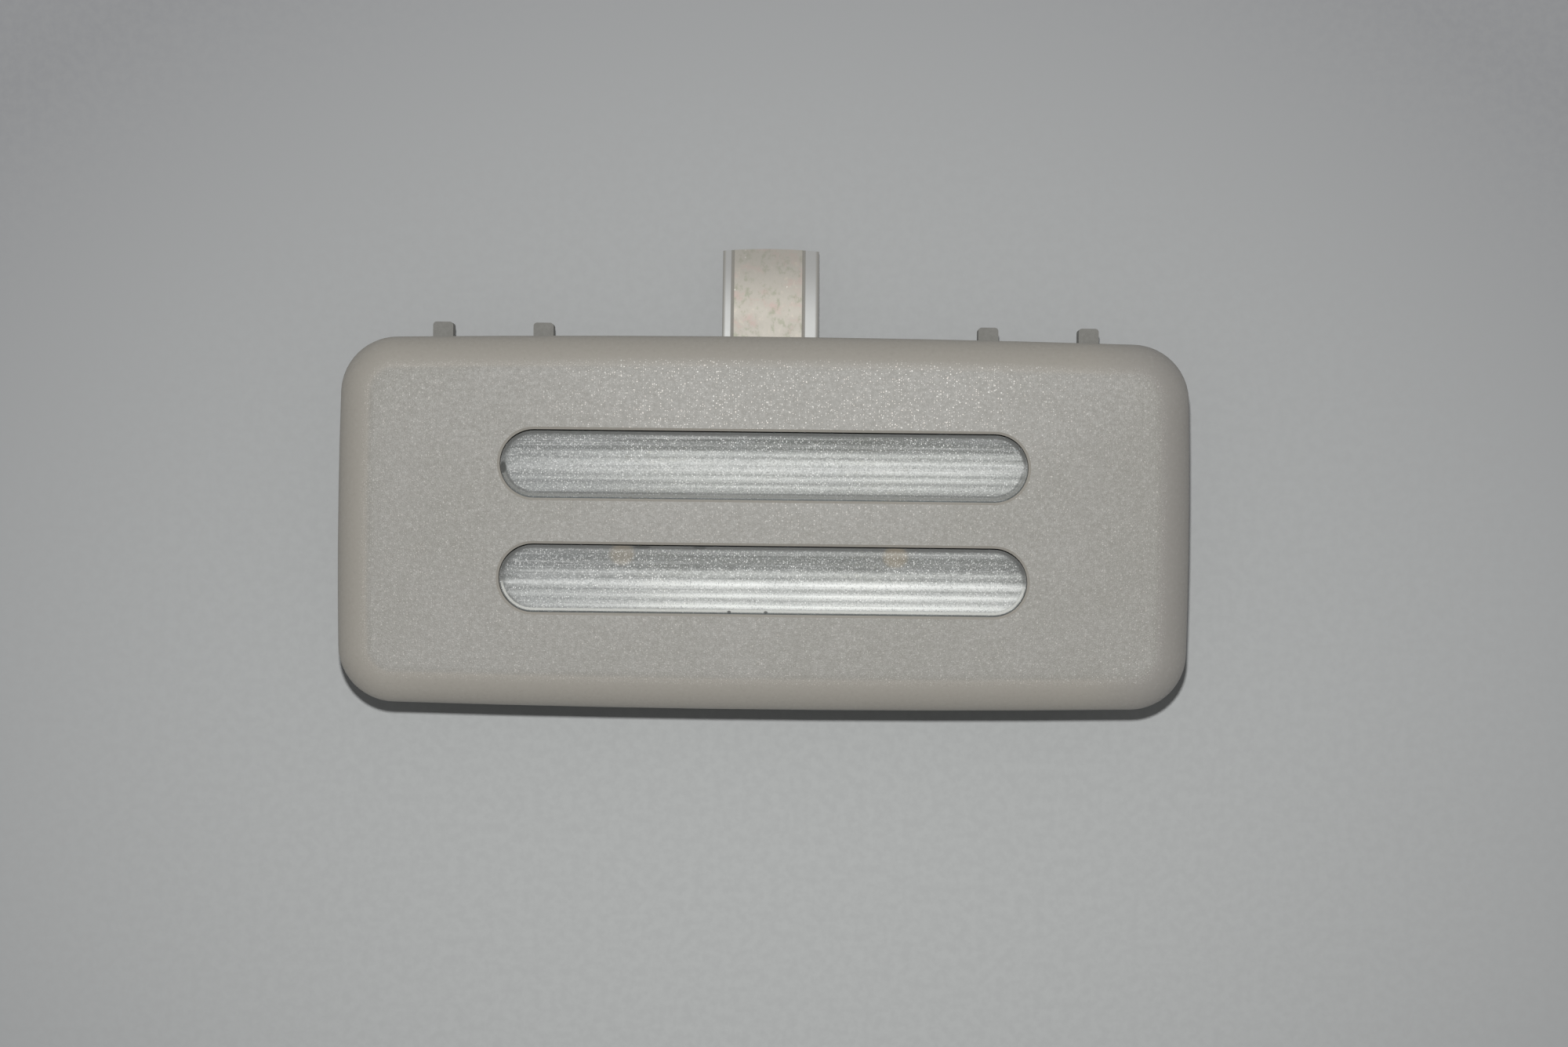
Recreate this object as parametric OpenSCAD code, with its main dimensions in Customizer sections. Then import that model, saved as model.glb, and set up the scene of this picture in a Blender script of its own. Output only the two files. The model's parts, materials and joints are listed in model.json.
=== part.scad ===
// Car interior light: a long courtesy lamp with two clear light bars, held in
// the headliner by four lugs and a sheet-metal spring.
//
// The origin is the centre of the bezel's rear rim plane, which seats on the
// headliner. +X runs along the long side, +Y towards the lugs and the spring,
// +Z out of the lit face into the cabin. Millimetres and degrees.

/* [Bezel] */
// Length of the bezel at its middle
bezel_w = 105; // [104:0.5:110]
// Width of the bezel at its middle
bezel_h = 46; // [46:0.5:50]
// Height of the face above the headliner
face_z = 7.5; // [7.2:0.1:9]
// Radius of the outline's corners
corner_r = 7; // [6:0.5:9]
// Radius of the roll from the face into the sides
edge_r = 4.7; // [3:0.1:5.2]
// Thickness of the moulding
wall = 2.2; // [1.8:0.1:2.4]
// Half angle of the arc that bows each long side
long_bow = 1.2; // [0.6:0.1:2]
// Half angle of the arc that bows each short side
short_bow = 1.4; // [0.6:0.1:2]

/* [Windows and light bars] */
// Length of a window
window_w = 64.8; // [50:0.2:66]
// Height of a window
window_h = 8.4; // [7.8:0.2:8.8]
// Distance between the two windows' centre lines
window_pitch = 14; // [13:0.5:15]
// Size of the bevel round a window
window_lip = 0.3; // [0.1:0.1:0.6]
// Gap round a light bar in its window
bar_gap = 0.15; // [0.1:0.05:0.3]
// Depth of a bar's crest below the face
bar_sink = 0.25; // [0.1:0.05:0.6]
// Rise of a bar's convex front from its edge to its crest
bar_dome = 0.45; // [0.2:0.05:0.9]
// Thickness of the plate that joins the two bars
lens_t = 1.2; // [1:0.1:1.4]
// Flutes on the rear of each bar
flute_count = 6; // [3:1:6]
// Distance between two flutes
flute_pitch = 1.26; // [1.1:0.02:1.4]

/* [Skirt, lugs and hooks] */
// Overhang of the rim past the skirt at each end
rim_end = 5.5; // [5.2:0.1:5.8]
// Overhang of the rim past the skirt at each side
rim_side = 4.5; // [4.3:0.1:4.6]
// Thickness of the skirt
skirt_t = 1.8; // [1.6:0.1:2]
// Depth of the skirt behind the rim
skirt_depth = 7; // [6.6:0.1:8]
// Width of a lug
lug_w = 2.5; // [2:0.1:4]
// Reach of the lugs past the bezel's long side
lug_reach = 1.65; // [1:0.05:3]
// Height of a lug
lug_h = 4.2; // [2:0.1:4.6]
// Gap between rim and lugs, which takes the headliner's edge
lug_gap = 2.1; // [1:0.1:2.4]
// Distance from the middle to the inner lugs
lug_inner_x = 27.7; // [20:0.1:34]
// Distance from the middle to the outer lugs
lug_outer_x = 40.2; // [38:0.1:42]
// Distance from the middle to each snap hook
hook_x = 30; // [22:1:34]
// Width of a snap hook
hook_w = 8; // [5:0.5:10]

/* [Housing] */
// Depth of the housing behind the rim
housing_depth = 12; // [12:0.1:13]
// Thickness of the housing's walls
housing_t = 1.6; // [1.3:0.1:1.8]
// Thickness of its floor
floor_t = 1.4; // [1.3:0.1:1.6]
// Distance from the middle to the screws along the length
screw_x = 42; // [41.6:0.1:42.1]
// Distance from the middle to the screws across the width
screw_y = 12; // [10.5:0.5:12.5]
// Inside width of the connector's socket
socket_w = 11.6; // [11:0.2:13]
// Depth of the socket
socket_depth = 9; // [8:0.2:9]

/* [Reflector] */
// Radius of the reflector's trough
trough_r = 13.5; // [13:0.1:13.6]
// Length of the trough
trough_w = 69; // [60:1:69]
// Thickness of the sheet metal
sheet_t = 0.5; // [0.4:0.05:0.5]

/* [Bulb and contacts] */
// Length of the festoon bulb over its caps
bulb_w = 36; // [35:0.5:38]
// Radius of its glass
glass_r = 5; // [4.5:0.1:5]
// Radius of its caps
cap_r = 3.4; // [3.2:0.1:3.5]
// Height of the bulb's axis above the rim plane
bulb_z = -3.4; // [-3.6:0.1:-3]
// Width of a contact strip and its blade
blade_w = 2.8; // [2.4:0.1:3]

/* [Retaining spring] */
// Offset of the spring from the middle
spring_x = 0.2; // [-1:0.1:1]
// Width of the spring's flat panel
panel_w = 8.5; // [8:0.1:9.6]
// Width of the flank on its left
left_flank = 1.45; // [0.9:0.05:2]
// Width of the flank on its right
right_flank = 2.1; // [0.9:0.05:2.3]
// Radius to which the tongue is bowed
bow_r = 45; // [40:1:60]
// Reach of the tongue past the bezel's long side
spring_reach = 11.45; // [8:0.1:12]

/* [Hidden] */
$fn = 32;

// How far joined bodies run into one another, and past what they cut.
lap = 0.3;
past = 1;

inner_z = face_z - wall;
lens_z = inner_z - lens_t;
ledge_z = lens_z - sheet_t;
bar_r = window_h / 2 - bar_gap;
bar_z = face_z - bar_sink;

skirt_l = bezel_w - 2 * rim_end;
skirt_w = bezel_h - 2 * rim_side;
skirt_in_l = skirt_l - 2 * skirt_t;
skirt_in_w = skirt_w - 2 * skirt_t;
lug_xs = [-lug_outer_x, -lug_inner_x, lug_inner_x, lug_outer_x];

housing_l = 76;
housing_w = skirt_in_w - 0.6;
end_x = housing_l / 2;
side_y = housing_w / 2;
back_z = -housing_depth;
floor_z = back_z + floor_t;
pad_z = floor_z + 1.2;
flange_t = 1.5;
boss_z = -3;
flange_z = boss_z - flange_t;
trough_z = 4.5;

cap_w = 7.5;
cap_x = bulb_w / 2 - cap_w;
cone_w = 3;
cap_tip_r = 1.2;
lead_r = 0.27;
filament_w = 11;
contact_x = bulb_w / 2 - 1.4;
// radius of a cap's cone where the contact's cup meets it
cup_r = cap_tip_r + (cap_r - cap_tip_r) * 1.4 / cone_w + 0.003;
strip_y = 1.2;
blade_y = strip_y + blade_w / 2;
blade_z = -8.45;
jog_x = end_x - housing_t - 0.8;

foot_z = back_z + sheet_t;
foot_y = 6.4;
rivet_x = 2.6;
rivet_y = 10.6;
rivet_r = 1.2;
upright_r = 0.6;
spring_root_z = -3.2;
bow_start = 2;
tip_y = bezel_h / 2 + spring_reach;

// Flat rectangle with round corners.
module rounded_rect(length, width, radius) {
    square([length - 2 * radius, width], center = true);
    square([length, width - 2 * radius], center = true);
    for (sx = [-1, 1])
        for (sy = [-1, 1])
            translate([sx * (length / 2 - radius), sy * (width / 2 - radius)])
                circle(radius, $fn = 16);
}

// Flat slot with fully round ends.
module stadium(length, width) {
    square([length - width, width], center = true);
    for (sx = [-1, 1])
        translate([sx * (length - width) / 2, 0])
            circle(width / 2, $fn = 24);
}

// Runs a shape drawn in (Y, Z) along X, centred on the middle.
module along_x(length) {
    rotate([90, 0, 90])
        translate([0, 0, -length / 2])
            linear_extrude(length)
                children();
}

// Half section of a slab whose outer top corner is a quarter round.
module rim_section(inner, outer, depth, edge) {
    difference() {
        translate([inner, 0])
            square([outer - inner, depth]);
        translate([outer - edge, depth - edge])
            square([edge + past, edge + past]);
    }
    intersection() {
        translate([outer - edge, depth - edge])
            circle(edge, $fn = 24);
        translate([outer - edge, depth - edge])
            square([edge + past, edge + past]);
    }
}

// Places a corner piece, drawn for +X and +Y, at the four corners.
module at_corners(x, y) {
    for (sx = [0, 1])
        for (sy = [0, 1])
            mirror([sx, 0, 0])
                mirror([0, sy, 0])
                    translate([x, y, 0])
                        children();
}

// Slab with four bowed sides. All arcs of the outline are tangent: their
// centres follow from the two bow angles, so it closes at any size.
module cushion(length, width, corner, edge, depth) {
    tl = tan(long_bow / 2);
    ts = tan(short_bow / 2);
    cx = (length / 2 - corner - (width / 2 - corner) * ts) / (1 - tl * ts);
    cy = width / 2 - corner - cx * tl;
    long_r = corner + cx / sin(long_bow);
    short_r = corner + cy / sin(short_bow);
    for (side = [0, 1])
        mirror([0, side, 0])
            translate([0, width / 2 - long_r, 0])
                rotate_extrude(angle = 2 * long_bow, start = 90 - long_bow, $fn = 750)
                    rim_section(long_r - corner - past, long_r, depth, edge);
    for (side = [0, 1])
        mirror([side, 0, 0])
            translate([length / 2 - short_r, 0, 0])
                rotate_extrude(angle = 2 * short_bow, start = -short_bow, $fn = 500)
                    rim_section(short_r - corner - past, short_r, depth, edge);
    at_corners(cx, cy)
        rotate_extrude(angle = 90 - long_bow - short_bow, start = short_bow)
            rim_section(0, corner, depth, edge);
    translate([-cx, -cy, 0])
        cube([2 * cx, 2 * cy, depth]);
}

// Slab with straight sides.
module slab(length, width, corner, edge, depth) {
    along_x(length - 2 * corner)
        for (side = [0, 1])
            mirror([side, 0])
                rim_section(0, width / 2, depth, edge);
    rotate(90)
        along_x(width - 2 * corner)
            for (side = [0, 1])
                mirror([side, 0])
                    rim_section(0, length / 2, depth, edge);
    at_corners(length / 2 - corner, width / 2 - corner)
        rotate_extrude(angle = 90)
            rim_section(0, corner, depth, edge);
}

// Places its children at the four housing screws.
module at_screws() {
    for (sx = [-1, 1])
        for (sy = [-1, 1])
            translate([sx * screw_x, sy * screw_y, 0])
                children();
}

// Window through the bezel's front, with a 45 degree bevel round its front edge.
module window() {
    half = (window_w - window_h) / 2;
    small_r = window_h / 2 - 0.2;
    rise = window_lip + 0.4;
    low_z = face_z - window_lip - 0.2;
    translate([0, 0, inner_z - past])
        linear_extrude(wall + 2 * past)
            stadium(window_w, window_h);
    for (sx = [-1, 1])
        translate([sx * half, 0, low_z])
            cylinder(h = rise, r1 = small_r, r2 = small_r + rise);
    along_x(2 * half)
        polygon([[-small_r, low_z], [small_r, low_z],
                 [small_r + rise, low_z + rise], [-small_r - rise, low_z + rise]]);
}

// Collar that passes through the headliner's cut-out.
module skirt() {
    translate([0, 0, -skirt_depth])
        linear_extrude(skirt_depth + inner_z + lap)
            difference() {
                rounded_rect(skirt_l, skirt_w, 3.4);
                rounded_rect(skirt_in_l, skirt_in_w, 1.6);
            }
}

// Lug that goes behind the edge of the headliner, with rounded corners at its tip.
module lug() {
    round_r = 0.45;
    base_y = skirt_w / 2 - 1;
    end_y = bezel_h / 2 + lug_reach;
    translate([0, 0, -lug_gap - lug_h])
        linear_extrude(lug_h) {
            translate([-lug_w / 2, base_y])
                square([lug_w, end_y - round_r - base_y]);
            translate([-lug_w / 2 + round_r, base_y])
                square([lug_w - 2 * round_r, end_y - base_y]);
            for (s = [-1, 1])
                translate([s * (lug_w / 2 - round_r), end_y - round_r])
                    circle(round_r, $fn = 16);
        }
}

// Ramped hook on the side away from the lugs.
module hook() {
    y = -skirt_w / 2;
    along_x(hook_w)
        polygon([[y + 0.8, -1.5], [y - 1.5, -2.2], [y - 1.5, -3], [y + 0.8, -6.2]]);
}

// Thin ribs that tie the rim to the skirt.
module rim_ribs() {
    rib_t = 1.2;
    rib_h = inner_z + lap - 1.2;
    side_gap = rim_side - wall;
    end_gap = rim_end - wall;
    for (x = [-36, -18, 0, 18, 36])
        for (side = [0, 1])
            mirror([0, side, 0])
                translate([x - rib_t / 2, skirt_w / 2 - 0.6, 1.2])
                    cube([rib_t, side_gap + 1.2, rib_h]);
    for (y = [-9, 9])
        for (side = [0, 1])
            mirror([side, 0, 0])
                translate([skirt_l / 2 - 0.6, y - rib_t / 2, 1.2])
                    cube([end_gap + 1.2, rib_t, rib_h]);
}

// Screw bosses behind the face, each tied to the skirt by a web.
module bosses() {
    boss_h = inner_z + lap - boss_z;
    at_screws()
        translate([0, 0, boss_z])
            cylinder(h = boss_h, r = 2.6);
    for (sx = [0, 1])
        for (sy = [-1, 1])
            mirror([sx, 0, 0])
                translate([screw_x + 1, sy * screw_y - 0.6, boss_z])
                    cube([skirt_in_l / 2 + 0.6 - screw_x - 1, 1.2, boss_h]);
}

module bezel() {
    color([0.64, 0.63, 0.59])
    difference() {
        union() {
            difference() {
                cushion(bezel_w, bezel_h, corner_r, edge_r, face_z);
                translate([0, 0, -wall])
                    cushion(bezel_w - 2 * wall, bezel_h - 2 * wall,
                            corner_r - wall, edge_r - wall, face_z);
            }
            skirt();
            for (x = lug_xs)
                translate([x, 0, 0])
                    lug();
            for (x = [-hook_x, hook_x])
                translate([x, 0, 0])
                    hook();
            rim_ribs();
            bosses();
        }
        for (s = [-1, 1])
            translate([0, s * window_pitch / 2, 0])
                window();
        at_screws()
            translate([0, 0, flange_z])
                cylinder(h = 8.8, r = 1.3, $fn = 20);
        // slits that make each hook a snap arm
        for (x = [-hook_x, hook_x])
            for (s = [-1, 1])
                translate([x + s * (hook_w / 2 + 1) - 0.5, -skirt_w / 2 - past, -skirt_depth - past])
                    cube([1, skirt_t + 2 * past, skirt_depth + 1.4]);
        // notch for the spring
        translate([spring_x - 7.2, skirt_in_w / 2 - past, -skirt_depth - past])
            cube([14.4, skirt_t + 2 * past, skirt_depth + past - 2.2]);
        // notch for the connector
        translate([skirt_in_l / 2 - past, -socket_w / 2 - 1.8, -skirt_depth - past])
            cube([skirt_t + 2 * past, socket_w + 3.6, skirt_depth + past - 2.4]);
    }
}

// Half section of a light bar: straight side, convex front.
module bar_section() {
    dome_r = (bar_r * bar_r + bar_dome * bar_dome) / (2 * bar_dome);
    intersection() {
        translate([0, inner_z - lap])
            square([bar_r, wall + lap]);
        translate([0, bar_z - dome_r])
            circle(dome_r, $fn = 144);
    }
}

// One clear bar: the section runs along the window and turns about each end.
module light_bar() {
    half = (window_w - window_h) / 2;
    along_x(2 * half)
        for (side = [0, 1])
            mirror([side, 0])
                bar_section();
    for (turn = [0, 180])
        rotate(turn)
            translate([half, 0, 0])
                rotate_extrude(angle = 180, start = -90)
                    bar_section();
}

// Half-round flutes behind one bar, which draw its light out into lines.
module flutes() {
    along_x(window_w - window_h + 4)
        intersection() {
            for (i = [0 : flute_count - 1])
                translate([(i - (flute_count - 1) / 2) * flute_pitch, lens_z + 0.28])
                    circle(flute_pitch * 0.6, $fn = 20);
            translate([-5, lens_z - past])
                square([10, past + lap]);
        }
}

module lens() {
    color([0.86, 0.89, 0.92, 0.45]) {
        translate([0, 0, lens_z])
            linear_extrude(lens_t)
                rounded_rect(housing_l + 1, housing_w - 0.4, 2.6);
        for (s = [-1, 1])
            translate([0, s * window_pitch / 2, 0]) {
                light_bar();
                flutes();
            }
    }
}

// Drawn sheet: a half-round trough under a flat rim.
module reflector() {
    outer_r = trough_r + sheet_t;
    color([0.84, 0.85, 0.86])
    difference() {
        union() {
            along_x(trough_w + 2 * sheet_t)
                intersection() {
                    translate([0, trough_z])
                        circle(outer_r, $fn = 48);
                    translate([-outer_r - past, back_z])
                        square([2 * (outer_r + past), ledge_z + sheet_t / 2 - back_z]);
                }
            translate([0, 0, ledge_z])
                linear_extrude(sheet_t)
                    rounded_rect(housing_l - 0.4, housing_w - 0.6, 2.2);
        }
        along_x(trough_w)
            translate([0, trough_z])
                circle(trough_r, $fn = 48);
        // passages for the two contacts
        for (s = [-1, 1])
            translate([s * (contact_x + sheet_t / 2) - 0.65, -4.6, back_z])
                cube([1.3, 9.2, 4.4]);
    }
}

// Tray, screw flange and connector shroud before the inside is cut out.
module housing_blank() {
    translate([0, 0, ledge_z])
        mirror([0, 0, 1])
            slab(housing_l, housing_w, 2.4, 1.2, ledge_z - back_z);
    translate([0, 0, flange_z])
        linear_extrude(flange_t)
            rounded_rect(skirt_in_l - 0.6, housing_w - 1.8, 2);
    translate([end_x - 2, -socket_w / 2 - 1.2, back_z])
        cube([socket_depth + 2, socket_w + 2.4, flange_z + lap - back_z]);
}

// Pegs, rivet pad and plug stops inside the tray.
module housing_fittings() {
    translate([spring_x - 7.4, 5, floor_z - lap])
        cube([14.8, side_y - 5.8, pad_z - floor_z + lap]);
    for (x = [-21, 0, 30])
        translate([x, blade_y, floor_z - lap])
            cylinder(h = 0.85 + lap, r = 0.7, $fn = 20);
    for (x = [23, 31])
        translate([x, -blade_y, floor_z - lap])
            cylinder(h = 0.85 + lap, r = 0.7, $fn = 20);
    for (s = [-1, 1])
        translate([end_x - 0.4, s * (socket_w / 2 - 0.7) - 0.9, back_z + 1])
            cube([1.4, 1.8, 5.3]);
}

// Shallow pockets in the back, which leave a grid of ribs.
module back_pockets() {
    pocket = 8.2;
    for (x = [-32.4 : 10.8 : 33])
        translate([x, 0, back_z - past])
            linear_extrude(past + 0.4)
                rounded_rect(pocket, pocket, 0.8);
    for (x = [-32.4 : 10.8 : 33])
        translate([x, -11.4, back_z - past])
            linear_extrude(past + 0.4)
                rounded_rect(pocket, 5.2, 0.8);
}

module housing() {
    color([0.24, 0.25, 0.26])
    difference() {
        union() {
            difference() {
                housing_blank();
                translate([0, 0, floor_z])
                    linear_extrude(ledge_z - floor_z + past)
                        rounded_rect(housing_l - 2 * housing_t, housing_w - 2 * housing_t, 0.8);
                translate([end_x, -socket_w / 2, back_z + 1.2])
                    cube([socket_depth + past, socket_w, 4.9]);
            }
            housing_fittings();
        }
        at_screws()
            translate([0, 0, flange_z - past])
                cylinder(h = flange_t + 2 * past, r = 1.6, $fn = 20);
        // passages for the two blades
        for (s = [-1, 1])
            translate([end_x - housing_t - past, s * blade_y - blade_w / 2 - 0.1, blade_z - 0.1])
                cube([housing_t + 2 * past, blade_w + 0.2, sheet_t + 0.2]);
        // window for the plug's latch
        translate([end_x + 4, -2.5, back_z - past])
            cube([2.6, 5, 3]);
        // recess for the spring's foot, its rivets and its bend
        translate([spring_x - panel_w / 2 - 0.3, foot_y - 0.5, back_z - past])
            cube([panel_w + 0.6, side_y, past + 2 * sheet_t]);
        for (s = [-1, 1])
            translate([spring_x + s * rivet_x, rivet_y, back_z])
                cylinder(h = 4, r = rivet_r, $fn = 20);
        translate([spring_x, 0, 0])
            along_x(panel_w + 0.6)
                polygon([[side_y - upright_r - 0.1, foot_z + sheet_t - 0.1],
                         [side_y + 0.1, foot_z + sheet_t - 0.1],
                         [side_y + 0.1, foot_z + sheet_t + upright_r + 0.1]]);
        // vents
        for (x = [-27, -16.2, 16.2, 27])
            for (s = [-1, 1])
                translate([x, s * 6.2, back_z - past])
                    linear_extrude(floor_t + 2 * past)
                        stadium(5.6, 1.6);
        back_pockets();
    }
}

// Revolves a shape drawn as (radius, X) about the bulb's axis.
module about_bulb(segments = 32) {
    translate([0, 0, bulb_z])
        rotate([0, 90, 0])
            rotate_extrude($fn = segments)
                children();
}

// Half outline of a glass capsule.
module capsule_half(radius) {
    straight = cap_x - 4;
    square([radius, straight]);
    translate([0, straight])
        intersection() {
            circle(radius, $fn = 16);
            square([radius, radius]);
        }
}

module bulb_glass() {
    glass_t = 0.6;
    color([0.9, 0.92, 0.93, 0.4])
    about_bulb()
        difference() {
            for (side = [0, 1])
                mirror([0, side])
                    capsule_half(glass_r);
            for (side = [0, 1])
                mirror([0, side]) {
                    capsule_half(glass_r - glass_t);
                    translate([0, cap_x + 0.5])
                        square([glass_r + past, 2 * past]);
                    translate([0, cap_x - 0.5])
                        square([lead_r + 0.05, 2 * past]);
                }
        }
}

// Turned metal cap with a conical end; `side` is -1 on the left and 1 on the right.
module bulb_cap(side) {
    color([0.83, 0.72, 0.45])
    mirror([side < 0 ? 1 : 0, 0, 0])
        about_bulb()
            difference() {
                polygon([[0, cap_x], [cap_r, cap_x], [cap_r, bulb_w / 2 - cone_w],
                         [cap_tip_r, bulb_w / 2], [0, bulb_w / 2]]);
                translate([-past, cap_x - past])
                    square([cap_r - 0.38 + past, past + 0.5]);
            }
}

module bulb_cap_left() bulb_cap(-1);

module bulb_cap_right() bulb_cap(1);

module bulb_filament() {
    color([0.35, 0.35, 0.36])
    about_bulb(16)
        translate([0, -filament_w / 2])
            square([0.45, filament_w]);
}

module bulb_lead(side) {
    color([0.6, 0.6, 0.6])
    mirror([side < 0 ? 1 : 0, 0, 0])
        about_bulb(16)
            translate([0, filament_w / 2])
                square([lead_r, cap_x + 0.5 - filament_w / 2]);
}

module bulb_lead_left() bulb_lead(-1);

module bulb_lead_right() bulb_lead(1);

// Brass strip: cupped tab at one end of the bulb, foot along the floor, step up
// and blade in the socket.
module contact(side) {
    tab_x = side < 0 ? -contact_x - sheet_t : contact_x;
    foot_x = side < 0 ? -24 : contact_x;
    peg_xs = side < 0 ? [-21, 0, 30] : [23, 31];
    tab_low_z = -7.4;
    color([0.8, 0.64, 0.3])
    difference() {
        mirror([0, side > 0 ? 1 : 0, 0])
            union() {
                translate([foot_x, strip_y, floor_z])
                    cube([jog_x + sheet_t - foot_x, blade_w, sheet_t]);
                translate([jog_x, strip_y, floor_z])
                    cube([sheet_t, blade_w, blade_z + sheet_t - floor_z]);
                translate([jog_x, strip_y, blade_z])
                    cube([end_x + 7.2 - jog_x, blade_w, sheet_t]);
                translate([tab_x, strip_y, floor_z])
                    cube([sheet_t, blade_w, tab_low_z + past - floor_z]);
                translate([tab_x, -3, tab_low_z])
                    cube([sheet_t, 6, bulb_z - tab_low_z]);
                translate([tab_x, 0, bulb_z])
                    rotate([0, 90, 0])
                        cylinder(h = sheet_t, r = 3);
            }
        translate([tab_x - past, 0, bulb_z])
            rotate([0, 90, 0])
                cylinder(h = sheet_t + 2 * past, r = cup_r);
        for (x = peg_xs)
            translate([x, -side * blade_y, floor_z - past])
                cylinder(h = 3, r = 0.76, $fn = 20);
        // detent that locks the plug's terminal
        translate([end_x + 5.4, -side * blade_y, blade_z - past])
            cylinder(h = 3, r = 0.6, $fn = 20);
    }
}

module contact_left() contact(-1);

module contact_right() contact(1);

// Pressed section of the tongue, drawn as (radius, across): a flat panel, a
// crease on each side, and a flank whose outer edge is turned down.
module tongue_section() {
    half = panel_w / 2;
    left = -half - left_flank;
    right = half + right_flank;
    t = 0.45;
    crease = 0.34;
    polygon([
        [0, -half], [0, half], [-crease, half + 0.16], [-0.08, half + 0.42],
        [-0.4, right - 0.22], [-0.7, right], [-1.7, right], [-1.7, right - t],
        [-0.9, right - t - 0.1], [-0.08 - t, half + 0.5], [-crease - t, half + 0.16], [-t, half - 0.1],
        [-t, -half + 0.1], [-crease - t, -half - 0.16], [-0.72, -half - 0.42], [-0.95, left + t + 0.02],
        [-1.7, left + t], [-1.7, left], [-0.5, left], [-0.22, left + 0.16],
        [-0.08, -half - 0.42], [-crease, -half - 0.16]]);
}

// The section swept round the bow, with the tip cut to a slight arc.
module tongue() {
    tip_r = 70;
    root_y = side_y + 0.8;
    axis_y = root_y - bow_r * sin(bow_start);
    axis_z = spring_root_z - bow_r * cos(bow_start);
    sweep = asin((tip_y + past - axis_y) / bow_r) - bow_start;
    intersection() {
        translate([spring_x, axis_y, axis_z])
            rotate([0, 0, 90])
                rotate([90, 0, 0])
                    rotate([0, 0, 90 - bow_start - sweep])
                        rotate_extrude(angle = sweep, $fn = 240)
                            translate([bow_r, 0])
                                tongue_section();
        translate([spring_x + (right_flank - left_flank) / 2, tip_y - tip_r, back_z - past])
            cylinder(h = housing_depth, r = tip_r, $fn = 180);
    }
}

// Quarter of a bent sheet, from +X to +Y about the origin.
module sheet_bend(inner) {
    intersection() {
        difference() {
            circle(inner + sheet_t);
            circle(inner);
        }
        square([inner + past, inner + past]);
    }
}

module retaining_spring() {
    top_r = 0.5;
    color([0.72, 0.7, 0.66])
    difference() {
        union() {
            translate([spring_x, 0, 0])
                along_x(panel_w) {
                    translate([foot_y, foot_z])
                        square([side_y - upright_r - foot_y, sheet_t]);
                    translate([side_y - upright_r, foot_z + sheet_t + upright_r])
                        rotate(-90)
                            sheet_bend(upright_r);
                    translate([side_y, foot_z + sheet_t + upright_r])
                        square([sheet_t, spring_root_z - sheet_t - top_r - foot_z - sheet_t - upright_r]);
                    translate([side_y + sheet_t + top_r, spring_root_z - sheet_t - top_r])
                        rotate(90)
                            sheet_bend(top_r);
                }
            tongue();
        }
        for (s = [-1, 1])
            translate([spring_x + s * rivet_x, rivet_y, back_z - past])
                cylinder(h = 4, r = rivet_r, $fn = 20);
    }
}

// Flat-head rivet that holds the spring's foot to the housing's pad.
module spring_rivet(side) {
    color([0.7, 0.7, 0.7])
    translate([spring_x + side * rivet_x, rivet_y, 0])
        rotate_extrude($fn = 20)
            polygon([[0, back_z], [1.8, back_z], [2, back_z + 0.2], [2, foot_z],
                     [rivet_r, foot_z], [rivet_r, pad_z], [2, pad_z], [1.7, pad_z + 0.6],
                     [1, pad_z + 0.9], [0, pad_z + 0.9]]);
}

module spring_rivet_left() spring_rivet(-1);

module spring_rivet_right() spring_rivet(1);

// Self-tapping pan head screw, driven from behind into a boss of the bezel.
module screw(sx, sy) {
    color([0.55, 0.55, 0.57])
    translate([sx * screw_x, sy * screw_y, flange_z])
        difference() {
            rotate_extrude($fn = 20)
                polygon([[0, -1.6], [1.5, -1.6], [2.2, -1.2], [2.4, -0.6], [2.4, 0],
                         [1.28, 0], [1.28, 6.4], [0.5, 7.6], [0, 7.6]]);
            for (turn = [0, 90])
                rotate(turn)
                    translate([-1.3, -0.3, -2])
                        cube([2.6, 0.6, 1.4]);
        }
}

module screw_upper_left() screw(-1, 1);

module screw_upper_right() screw(1, 1);

module screw_lower_left() screw(-1, -1);

module screw_lower_right() screw(1, -1);

bezel();
lens();
reflector();
housing();
bulb_glass();
bulb_cap_left();
bulb_cap_right();
bulb_filament();
bulb_lead_left();
bulb_lead_right();
contact_left();
contact_right();
retaining_spring();
spring_rivet_left();
spring_rivet_right();
screw_upper_left();
screw_upper_right();
screw_lower_left();
screw_lower_right();
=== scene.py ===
"""Looks of a car interior light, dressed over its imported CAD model.

The lamp lies face up on a pale table top. Every piece keeps the size and place
that the model gives it; this file smooths the moulded and pressed pieces, winds
the bulb's filament, and gives each surface its finish.
"""
import sys

import json
import logging
import math
from dataclasses import dataclass
from enum import Enum
from typing import Any, Optional, Sequence, Union

import bmesh
import bpy
from mathutils import Matrix, Vector

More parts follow.
